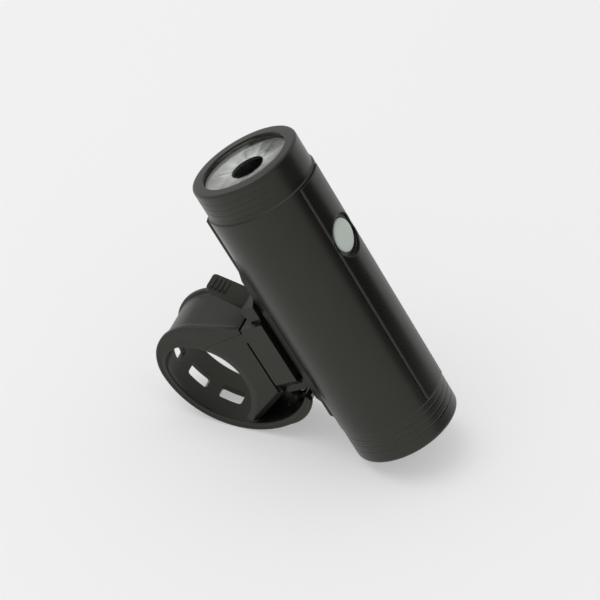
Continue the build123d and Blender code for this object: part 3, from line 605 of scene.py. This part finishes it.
@dataclass(frozen=True)
class Section:
    """Cross-section of a rubber band, from its middle round the outer face, the side and the inner face.

    With t the thickness, the outer face stands at t on the rims and at t - recess between them, joined by
    the step t - recess * (1 - eased(s)). Its edges are quarter circles, its side dips by
    groove * sin(pi * s) ** 2, and its inner edge hangs by hang * (1 - eased(s)).
    """

    half_width: float
    rim_width: float
    outer_round: float
    inner_round: float
    step: float = 0.35
    groove: float = 0.0
    lip_width: float = 1.4
    count: int = 6
    round_share: float = 0.45
    least_round: float = 0.02

    def loop(self, thickness: np.ndarray, recess: np.ndarray, ease: np.ndarray, hang: np.ndarray) -> tuple:
        """Closed loops of (side, height) for each station.

        Args:
            thickness: the band's thickness at each station, in millimetres.
            recess: how far the middle lies under the rims at each station.
            ease: share of the edge rounding and side groove at each station, 0 to 1.
            hang: how far the inner edge's lip hangs at each station.

        Returns:
            Two arrays of shape (stations, points): way from the middle plane, height over the inner face.
        """
        t, dip, share, lip = thickness[:, None], recess[:, None], ease[:, None], hang[:, None]
        outer = np.minimum(self.outer_round * share, t * self.round_share) + self.least_round
        inner = np.minimum(self.inner_round * share, t * self.round_share) + self.least_round
        turn = np.radians(np.linspace(0, 90, self.count))[None, :]
        s = np.linspace(0, 1, self.count)[None, :]
        web = self.half_width - self.rim_width
        flat = 0 * t
        runs = [
            ((web - self.step) * s + flat, t - dip + 0 * s),
            (web - self.step + 2 * self.step * s + flat, t - dip * (1 - eased(s))),
            (web + self.step + (self.half_width - outer - web - self.step) * s, t + 0 * s),
            (self.half_width - outer + outer * np.sin(turn), t - outer * (1 - np.cos(turn))),
            (
                self.half_width - self.groove * share * np.sin(np.pi * s) ** 2,
                (t - outer) * (1 - s) + (inner - lip) * s,
            ),
            (self.half_width - inner + inner * np.cos(turn), inner - lip - inner * np.sin(turn)),
            (self.half_width - inner - (self.lip_width - inner) * s, -lip * (1 - eased(s)) + flat),
            ((self.half_width - self.lip_width) * (1 - s) + flat, 0 * s + flat),
        ]
        side = np.concatenate([runs[0][0]] + [run[0][:, 1:] for run in runs[1:]], 1)
        height = np.concatenate([runs[0][1]] + [run[1][:, 1:] for run in runs[1:]], 1)
        side = np.concatenate([side, -side[:, -2:0:-1]], 1)
        return side, np.concatenate([height, height[:, -2:0:-1]], 1)


def band_mesh(
    inner: np.ndarray, outer: np.ndarray, section: Section, recess: np.ndarray, ease: np.ndarray,
    hang: np.ndarray,
) -> tuple:
    """Points and faces of a band: inner + (outer - inner) / |outer - inner| * height, capped at both ends.

    Args:
        inner: the inner face's side outline, (stations, 2), in the light's x and z.
        outer: the rims' outline at the same stations.
        section: the cross-section.
        recess: the middle's depth at each station.
        ease: share of the edge rounding at each station.
        hang: how far the inner edge's lip hangs at each station.

    Returns:
        Points in the part's metres and the faces.
    """
    across = outer - inner
    thickness = np.linalg.norm(across, axis=1)
    normal = across / thickness[:, None]
    side, height = section.loop(thickness, recess, ease, hang)
    x = inner[:, :1] + normal[:, :1] * height
    z = inner[:, 1:] + normal[:, 1:] * height
    return capped(np.stack([x, side, z], -1))


def prism_mesh(outline: np.ndarray, half: float) -> tuple:
    """Points and faces of a prism from y = -half to half, with a side outline in the light's x and z."""
    rows = [np.stack([outline[:, 0], np.full(len(outline), y), outline[:, 1]], 1) for y in (-half, half)]
    return capped(np.stack(rows))


def joined(*meshes: tuple) -> tuple:
    """Make several shells one mesh.

    Args:
        *meshes: points and faces of each shell.

    Returns:
        Points and faces of them all.
    """
    points, faces = meshes[0]
    for more_points, more_faces in meshes[1:]:
        shift = len(points)
        faces = faces + [[i + shift for i in face] for face in more_faces]
        points = np.concatenate([points, more_points])
    return points, faces


def carve(piece: bpy.types.Object, cutters: list) -> None:
    """Cut the cutters out of a piece for good and delete them.

    Args:
        piece: the piece, which gets a new mesh.
        cutters: closed objects.
    """
    for cutter in cutters:
        modifier = piece.modifiers.new(cutter.name, "BOOLEAN")
        modifier.operation = "DIFFERENCE"
        modifier.solver = "EXACT"
        modifier.object = cutter
    graph = bpy.context.evaluated_depsgraph_get()
    mesh = bpy.data.meshes.new_from_object(piece.evaluated_get(graph))
    piece.modifiers.clear()
    piece.data = mesh
    mesh.polygons.foreach_set("use_smooth", np.ones(len(mesh.polygons), bool))
    mesh.set_sharp_from_angle(angle=math.radians(SMOOTH_ANGLE))
    for cutter in cutters:
        bpy.data.objects.remove(cutter)


@dataclass(frozen=True)
class Bar:
    """The handlebar's place on the light's axes."""

    station: float = 33.3
    height: float = -49.0
    radius: float = 15.9

    @property
    def centre(self) -> tuple:
        """The bar's axis in the side view."""
        return (self.station, self.height)

    def at(self, radius: float, angle: float) -> tuple:
        """Point at a radius and angle in degrees round the bar."""
        turn = math.radians(angle)
        return (self.station + radius * math.cos(turn), self.height + radius * math.sin(turn))


@dataclass
class Strap:
    """Slotted rubber strap with a recessed middle, from the saddle's front round to its hook."""

    bar: Bar = Bar()
    section: Section = Section(
        half_width=9.35, rim_width=1.6, outer_round=0.7, inner_round=0.5, groove=0.3
    )
    centre: tuple = (40.2, -32.8)
    inner_radius: float = 23.25
    thickness: float = 2.6
    recess: float = 0.85
    corner_angle: float = 271.0
    corner_radius: float = 14.6
    tail_angle: float = 170.0
    bulge: float = 0.3
    bulge_angle: float = 156.0
    end_inner: tuple = (23.3, -18.45)
    end_outer: tuple = (21.48, -17.15)
    root_station: float = 48.42
    root_height: float = -25.5
    root_thickness: float = 1.48
    root_side: tuple = (46.88, -38.41)
    lip_stations: tuple = (26, 28, 46, 90)
    lip_heights: tuple = (0.0, 0.7, 0.5, 0.0)
    touch_angle: float = 2.0
    foot_angle: float = 37.4
    slot_angles: tuple = (277.8, 250.0, 222.2, 167.0)
    slot_size: tuple = (7.1, 4.9)
    slot_corner: float = 0.8
    slot_corner_count: int = 6
    bead: tuple = (46.4, -29.6)
    bead_radius: float = 1.7
    bead_half_length: float = 8.0
    bead_count: int = 36
    neck: float = 1.8
    neck_corner: float = 0.1
    neck_corner_count: int = 2
    # Points in each run of the outlines, and how many the recess and the rounding take to grow
    straight_count: int = 20
    side_count: int = 4
    arc_count: int = 30
    corner_count: int = 60
    root_count: int = 70
    ring_count: int = 120
    tail_count: int = 40
    recess_count: int = 30
    ease_count: int = 60
    ease_start: float = -0.9

    def at(self, radius: float, angle: float) -> tuple:
        """Point at a radius and angle in degrees round the strap's centre."""
        turn = math.radians(angle)
        return (self.centre[0] + radius * math.cos(turn), self.centre[1] + radius * math.sin(turn))

    def outlines(self) -> tuple:
        """Draw the strap's side view.

        The outer line leaves the root along a tangent of the corner's circle: with v the way from that
        circle's centre to the root, it touches at the angle atan2(v) - acos(corner_radius / |v|).

        Returns:
            Inner and outer outlines at the same stations, with the recess, edge share and lip there.
        """
        reach = self.inner_radius + self.thickness
        turning = self.at(reach - self.corner_radius, self.corner_angle)
        root_outer = (self.root_station + self.root_thickness, self.root_height)
        run, rise = root_outer[0] - turning[0], root_outer[1] - turning[1]
        touch = math.degrees(math.atan2(rise, run) - math.acos(self.corner_radius / math.hypot(run, rise)))
        corner = ring_arc(turning, self.corner_radius, touch, self.corner_angle - 360, self.corner_count)
        middle_angle = (self.corner_angle + self.tail_angle) / 2
        heading = (math.sin(math.radians(self.tail_angle)), -math.cos(math.radians(self.tail_angle)))
        back = (-math.sin(math.radians(self.corner_angle)), math.cos(math.radians(self.corner_angle)))
        bar = self.bar
        touch_point = bar.at(bar.radius, self.touch_angle)
        inner_corner = self.at(self.inner_radius, self.corner_angle)
        inner_root = chain(
            straight((self.root_station, self.root_height), self.root_side, self.straight_count),
            straight(self.root_side, bar.at(bar.radius, self.foot_angle), self.side_count),
            ring_arc(bar.centre, bar.radius, self.foot_angle, self.touch_angle, self.arc_count),
            arc_leaving(inner_corner, back, touch_point, self.arc_count)[::-1],
        )
        outer_root = chain(straight(root_outer, corner[0], self.straight_count), corner)
        angles = (self.corner_angle, middle_angle, self.tail_angle)
        rings = [
            arc_through(*(self.at(r, angle) for angle in angles), self.ring_count)
            for r in (self.inner_radius, reach)
        ]
        bulge = self.at(reach + self.bulge, self.bulge_angle)
        tail_outer = arc_through(rings[1][-1], bulge, self.end_outer, self.tail_count)
        tail_inner = arc_leaving(rings[0][-1], heading, self.end_inner, self.tail_count)
        inner, outer = (
            chain(respaced(root, self.root_count), ring, respaced(tail, self.tail_count))
            for root, ring, tail in zip((inner_root, outer_root), rings, (tail_inner, tail_outer))
        )
        recess = np.full(len(inner), self.recess)
        recess[:self.recess_count] *= np.linspace(0, 1, self.recess_count)
        ease = np.ones(len(inner))
        ease[:self.ease_count] = np.clip(np.linspace(self.ease_start, 1, self.ease_count), 0, 1)
        hang = np.interp(np.arange(len(inner)), self.lip_stations, self.lip_heights)
        return inner, outer, recess, ease, hang

    def cutters(self) -> list:
        """Make one rounded prism for each slot, square to the band.

        Returns:
            The cutter objects.
        """
        outline = rounded_box(*self.slot_size, self.slot_corner, self.slot_corner_count)
        across = np.array([0, 1, 0])
        found = []
        for index, angle in enumerate(self.slot_angles):
            turn = math.radians(angle)
            outward = np.array([math.cos(turn), 0, math.sin(turn)])
            along = np.array([-math.sin(turn), 0, math.cos(turn)])
            middle = self.at(self.inner_radius + self.thickness - self.recess, angle)
            flat = np.array([middle[0], 0, middle[1]]) + outline[:, :1] * along + outline[:, 1:] * across
            reach = outward * self.thickness * 2
            points, faces = capped(np.stack([flat - reach, flat + reach]))
            found.append(make_piece(f"slot_cutter_{index}", points, faces))
        return found

    def build(self, wardrobe: Wardrobe) -> None:
        """Make the strap with its bead inside the saddle and cut its slots.

        Args:
            wardrobe: the finishes.
        """
        last = 360 - 360 / self.bead_count
        bead = prism_mesh(
            ring_arc(self.bead, self.bead_radius, 0, last, self.bead_count), self.bead_half_length
        )
        mid = (self.bead[0] + self.root_station) / 2
        length = self.root_station - self.bead[0] + self.neck
        neck_outline = rounded_box(length, self.neck, self.neck_corner, self.neck_corner_count)
        neck = prism_mesh(neck_outline + (mid, self.bead[1]), self.bead_half_length)
        inner, outer, *shares = self.outlines()
        piece = make_piece("strap_band", *band_mesh(inner, outer, self.section, *shares))
        carve(piece, self.cutters())
        wardrobe.dress(piece, Look.RUBBER)
        stand_in(piece, "mount", ("strap",))
        anchor = make_piece("strap_bead", *joined(bead, neck))
        wardrobe.dress(anchor, Look.RUBBER)
        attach(anchor, "mount")


@dataclass
class SaddlePad:
    """Rubber lining of the saddle's arc."""

    bar: Bar = Bar()
    section: Section = Section(half_width=9.35, rim_width=3.0, outer_round=0.05, inner_round=0.4)
    thickness: float = 1.3
    angles: tuple = (38.2, 146.0)
    lip: float = 0.75
    count: int = 90

    def build(self, wardrobe: Wardrobe) -> None:
        """Make the lining as a band between two arcs round the bar.

        Args:
            wardrobe: the finishes.
        """
        inner = ring_arc(self.bar.centre, self.bar.radius, *self.angles, self.count)
        outer = ring_arc(self.bar.centre, self.bar.radius + self.thickness, *self.angles, self.count)
        ones = np.ones(len(inner))
        mesh = band_mesh(inner, outer, self.section, 0 * ones, ones, self.lip * ones)
        piece = make_piece("saddle_lining", *mesh)
        wardrobe.dress(piece, Look.LINING)
        stand_in(piece, "mount", ("saddle_pad",))


@dataclass
class PortFlap:
    """Rubber flap over the charging port: a plate, square at its hinged upper edge, and a plug behind."""

    plate_station: float = 1.3
    centre_height: float = 5.98
    size: tuple = (13.0, 7.0)
    thickness: float = 0.9
    corner: float = 2.4
    plug: tuple = (8.4, 2.6)
    plug_corner: float = 0.9
    plug_depth: float = 0.7
    plug_corner_count: int = 6
    edge: float = 0.2
    bevel: float = 0.2
    top_count: int = 8
    side_count: int = 6
    corner_count: int = 10
    smooth_angle: float = 50.0

    def slab(self, outline: np.ndarray, start: float, depth: float) -> tuple:
        """Make a plate across the light's axis with eased edges.

        Args:
            outline: array of shape (n, 2), in the light's y and z about centre_height.
            start: station of its tail side.
            depth: its thickness.

        Returns:
            Points and faces.
        """
        shrink = np.array([0.0, 1.0, 1.0, 0.0]) * self.edge - self.edge
        stations = start + np.array([0.0, self.edge, depth - self.edge, depth])
        half = np.abs(outline).max(0)
        rows = [
            np.column_stack([np.full(len(outline), x), outline * (1 + s / half)])
            for x, s in zip(stations, shrink)
        ]
        return capped(np.stack(rows) + np.array([0, 0, self.centre_height]))

    def build(self, wardrobe: Wardrobe) -> None:
        """Make the flap and its plug.

        Args:
            wardrobe: the finishes.
        """
        x, y = self.size[0] / 2, self.size[1] / 2
        bevel, corner, low = self.bevel, self.corner, self.corner - y
        outline = np.concatenate([
            straight((x - bevel, y), (-x + bevel, y), self.top_count),
            straight((-x, y - bevel), (-x, low), self.side_count),
            ring_arc((-x + corner, low), corner, 180, 270, self.corner_count),
            ring_arc((x - corner, low), corner, 270, 360, self.corner_count),
            straight((x, low), (x, y - bevel), self.side_count)[1:],
        ])
        plate = self.slab(outline, self.plate_station, self.thickness)
        boss = rounded_box(*self.plug, self.plug_corner, self.plug_corner_count)
        plug = self.slab(boss, self.plate_station + self.thickness - self.edge, self.plug_depth + self.edge)
        piece = make_piece("port_flap", *joined(plate, plug), self.smooth_angle)
        wardrobe.dress(piece, Look.SEAL)
        stand_in(piece, "flap", ("usb_flap",))


def turned_mesh(profile: np.ndarray, count: int = 240) -> tuple:
    """Turn a profile of (x, r) about the light's axis: points (x, r cos a, r sin a).

    Args:
        profile: closed outline of shape (n, 2).
        count: how many angles a takes.

    Returns:
        Points of shape (n, count, 3) in the light's millimetres, and the faces.
    """
    angle = np.linspace(0, 2 * np.pi, count, endpoint=False)[None, :]
    x, r = profile[:, :1], profile[:, 1:]
    points = np.stack([x + 0 * angle, r * np.cos(angle), r * np.sin(angle)], -1)
    return points, grid_faces(len(profile), count, True).tolist()


@dataclass
class RibbedRing:
    """Ring with shallow rounded grooves: r = radius - depth * sum(exp(-((x - groove) / width)^2))."""

    name: str
    body: str
    node: str
    start: float
    end: float
    radius: float
    grooves: tuple
    front_edge: float
    back_edge: float
    bore: tuple
    tube_edge: float
    groove_depth: float = 0.1
    groove_width: float = 0.16
    flare: float = 0.16
    tube_radius: float = 16.28
    plain_angle: float = -15.0
    fade_angle: float = 15.0
    side_count: int = 240
    edge_count: int = 10
    smooth_angle: float = 30.0

    def profile(self, groove_depth: float) -> np.ndarray:
        """Closed profile: the grooved outside, the rounded edges, and the bore's steps.

        By the tube the outside flares by (tube_radius - radius) * exp(-((x - tube_edge) / flare)^2).

        Args:
            groove_depth: how deep the grooves are, in millimetres.

        Returns:
            Array of (station, radius) rows.
        """
        x = np.linspace(self.start + self.back_edge, self.end - self.front_edge, self.side_count)
        dips = np.exp(-(((x[:, None] - np.array(self.grooves)[None, :]) / self.groove_width) ** 2)).sum(1)
        rise = (self.tube_radius - self.radius) * np.exp(-(((x - self.tube_edge) / self.flare) ** 2))
        side = np.stack([x, self.radius - groove_depth * dips + rise], 1)
        back = ring_arc(side[0] - (0, self.back_edge), self.back_edge, 180, 90, self.edge_count)
        front = ring_arc(side[-1] - (0, self.front_edge), self.front_edge, 90, 0, self.edge_count)
        return np.concatenate([back, side[1:-1], front, np.array(self.bore)])

    def build(self, wardrobe: Wardrobe) -> None:
        """Turn the ring, with grooves that fade to the plain outside near the deck's middle.

        With s the angle from that middle past plain_angle, over fade_angle, the grooves' share is eased(s).
        A plain_angle of -fade_angle leaves them whole all round.

        Args:
            wardrobe: the finishes.
        """
        grooved, faces = turned_mesh(self.profile(self.groove_depth))
        plain, _ = turned_mesh(self.profile(0.0))
        turn = np.linspace(0, 360, grooved.shape[1], endpoint=False)
        from_deck = np.abs((turn + 90) % 360 - 180)
        s = np.clip((from_deck - self.plain_angle) / self.fade_angle, 0, 1)
        points = plain + (grooved - plain) * eased(s)[None, :, None]
        piece = make_piece(self.name, AXES.to_part(points.reshape(-1, 3)), faces, self.smooth_angle)
        wardrobe.dress(piece, Look.RING)
        stand_in(piece, self.body, (self.node,))


FRONT_RING = RibbedRing(
    name="ribbed_bezel", body="bezel", node="front_bezel", start=85.72, end=95.3, radius=15.85,
    grooves=(87.2, 89.06, 90.92, 92.78), front_edge=0.7, back_edge=0.03,
    bore=(
        (95.3, 12.6), (95.2, 12.5), (94.6, 12.5), (94.6, 13.7), (93.1, 13.7), (93.1, 14.76), (85.72, 14.76),
    ),
    tube_edge=85.72, plain_angle=40.0,
)
TAIL_RING = RibbedRing(
    name="ribbed_tail_ring", body="tail_ring_body", node="tail_ring", start=0.0, end=11.28, radius=16.1,
    grooves=(4.55, 6.75, 8.95), front_edge=0.03, back_edge=1.2,
    bore=((11.28, 14.76), (3.3, 14.76), (3.3, 13.7), (1.2, 13.7), (1.2, 12.5), (0.1, 12.5), (0.0, 12.6)),
    tube_edge=11.28,
)


@dataclass
class Dish:
    """Shallow polished reflector on its skirt, with soft waves in its face and a map for its painted rays.

    With s from 0 at the port to 1 at the rim, the face is x = port + (rim - port) * s ** curve, lifted by
    ripple * 4 s (1 - s) * the sum of height * sin(turns * a + shift) over the waves (turns, height, shift).
    """

    port_station: float = 92.15
    rim_station: float = 93.05
    port_radius: float = 4.8
    rim_radius: float = 12.3
    skirt_radius: float = 13.0
    skirt_back: float = 86.35
    sheet: float = 0.8
    curve: float = 0.8
    ripple: float = 0.02
    waves: tuple = ((5, 1.0, 0.7), (11, 0.6, 2.1), (17, 0.4, 4.0))
    face_count: int = 30
    smooth_angle: float = 30.0

    def build(self, wardrobe: Wardrobe) -> None:
        """Turn the dish, wave its face and map its painted rays.

        Args:
            wardrobe: the finishes.
        """
        s = np.linspace(0, 1, self.face_count)
        face = np.stack([
            self.port_station + (self.rim_station - self.port_station) * s**self.curve,
            self.port_radius + (self.rim_radius - self.port_radius) * s,
        ], 1)
        behind = np.array([
            (self.rim_station, self.skirt_radius), (self.skirt_back, self.skirt_radius),
            (self.skirt_back, self.rim_radius), (self.rim_station - self.sheet, self.rim_radius),
            (self.port_station - self.sheet, self.port_radius),
        ])
        points, faces = turned_mesh(np.concatenate([face, behind]))
        a = np.linspace(0, 2 * np.pi, points.shape[1], endpoint=False)
        wave = sum(height * np.sin(turns * a + shift) for turns, height, shift in self.waves)
        points[:self.face_count, :, 0] += self.ripple * 4 * (s * (1 - s))[:, None] * wave[None, :]
        points = AXES.to_part(points.reshape(-1, 3))
        piece = make_piece("polished_dish_face", points, faces, self.smooth_angle)
        outward = np.append(s, np.ones(len(behind)))[:, None, None]
        direction = np.stack([np.cos(a), np.sin(a)], 1)[None] * (1 + outward) / 4 + 0.5
        corners = np.empty(len(piece.data.loops), int)
        piece.data.loops.foreach_get("vertex_index", corners)
        rays = piece.data.uv_layers.new(name=Look.DISH.value.ray_map)
        rays.data.foreach_set("uv", direction.reshape(-1, 2)[corners].ravel())
        wardrobe.dress(piece, Look.DISH)
        stand_in(piece, "light", ("reflector",))


# Studio round the light

@dataclass(frozen=True)
class Card:
    """An upright card facing the light, black or glowing, that shows only in mirror images."""

    name: str
    place: tuple
    size: tuple
    glow: float = 0.0
    black: tuple = (0.004, 0.004, 0.004, 1.0)

    def corners(self) -> np.ndarray:
        """Find the corners, with the width level and square to the way to the origin.

        Returns:
            Array of shape (4, 3), in metres.
        """
        place = Vector(self.place)
        facing = Vector((-place.x, -place.y, 0)).normalized()
        side = Vector((-facing.y, facing.x, 0)) * self.size[0] / 2
        rise = Vector((0, 0, self.size[1] / 2))
        signs = ((-1, -1), (1, -1), (1, 1), (-1, 1))
        return np.array([list(place + side * a + rise * b) for a, b in signs])

    def stand(self) -> None:
        """Make the card and keep it out of the camera's sight."""
        card = make_piece(self.name, self.corners(), [(0, 1, 2, 3)])
        shader = Shader(self.name)
        if self.glow:
            inputs = {"Color": WHITE, "Strength": self.glow}
            paint = shader.node("ShaderNodeEmission", {}, inputs, "Emission")
        else:
            paint = shader.node("ShaderNodeBsdfDiffuse", {}, {"Color": self.black}, "BSDF")
        card.data.materials.append(shader.surface(paint))
        card.visible_camera = False
        card.visible_diffuse = False
        card.visible_shadow = False


@dataclass
class Studio:
    """Floor, cards, lamp, world and camera."""

    eye: tuple = (-0.15586, 0.44087, 0.4458)
    forward: tuple = (0.25697, -0.71557, -0.64956)
    image_right: tuple = (-0.94241, -0.33444, -0.0044)
    lens: float = 133.32
    sensor_width: float = 36.0
    clip_start: float = 0.01
    floor_colour: tuple = (0.585, 0.582, 0.588)
    floor_glow: tuple = (0.34, 0.338, 0.342)
    floor_size: float = 6.0
    cards: tuple = (
        Card("deck_card", (-0.30, -0.085, 0.12), (0.27, 0.36)),
        Card("lens_card", (0.36, -0.36, 0.135), (0.072, 0.058)),
        Card("bright_strip", (0.42, -0.22, 0.36), (0.06, 0.22), glow=3.0),
    )
    world_level: float = 0.66
    lamp_place: tuple = (0.6, 0.2, 1.5)
    lamp_size: tuple = (1.4, 1.4)
    lamp_power: float = 9.3

    def build_camera(self) -> None:
        """Stand the camera at the photograph's viewpoint; the matrix's columns are right, up, back."""
        data = bpy.data.cameras.new("camera")
        data.lens = self.lens
        data.sensor_width = self.sensor_width
        data.clip_start = self.clip_start
        camera = bpy.data.objects.new("camera", data)
        back = -Vector(self.forward).normalized()
        right = Vector(self.image_right)
        right = (right - back * right.dot(back)).normalized()
        turn = Matrix((right, back.cross(right), back)).transposed()
        camera.matrix_world = Matrix.Translation(self.eye) @ turn.to_4x4()
        bpy.context.scene.collection.objects.link(camera)
        bpy.context.scene.camera = camera

    def build_floor(self) -> None:
        """Lay a pale floor whose colour is the photograph's background."""
        half = self.floor_size / 2
        corners = np.array([(-half, -half, 0), (half, -half, 0), (half, half, 0), (-half, half, 0)])
        floor = make_piece("floor", corners, [(0, 1, 2, 3)])
        inputs = {
            "Base Color": (*self.floor_colour, 1.0), "Roughness": 1.0, "Specular IOR Level": 0.0,
            "Emission Color": (*self.floor_glow, 1.0), "Emission Strength": 1.0,
        }
        floor.data.materials.append(Shader("floor").principled(inputs))

    def build_lamp(self) -> None:
        """Hang one soft rectangular lamp that faces the origin."""
        data = bpy.data.lights.new("top_lamp", "AREA")
        data.shape = "RECTANGLE"
        data.size, data.size_y = self.lamp_size
        data.energy = self.lamp_power
        lamp = bpy.data.objects.new("top_lamp", data)
        turn = Vector(self.lamp_place).normalized().to_track_quat("Z", "Y").to_matrix()
        lamp.matrix_world = Matrix.Translation(self.lamp_place) @ turn.to_4x4()
        bpy.context.scene.collection.objects.link(lamp)

    def build_world(self) -> None:
        """Fill the room with even white light."""
        world = bpy.data.worlds.new("studio")
        world.use_nodes = True
        inputs = world.node_tree.nodes["Background"].inputs
        inputs["Color"].default_value = WHITE
        inputs["Strength"].default_value = self.world_level
        bpy.context.scene.world = world

    def build(self) -> None:
        """Set the whole studio up."""
        bpy.context.scene.view_settings.view_transform = "Standard"
        self.build_camera()
        self.build_floor()
        for card in self.cards:
            card.stand()
        self.build_world()
        self.build_lamp()


def main() -> None:
    """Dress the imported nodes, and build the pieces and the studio."""
    logging.basicConfig(level=logging.INFO, format="%(message)s")
    wardrobe = Wardrobe()
    wardrobe.dress_nodes()
    LOG.info("dressed %d nodes", len(frame["nodes"]))
    for maker in (Strap(), SaddlePad(), PortFlap(), FRONT_RING, TAIL_RING, Dish()):
        maker.build(wardrobe)
    Studio().build()
    LOG.info("studio is set")


if __name__ == "__main__":
    main()
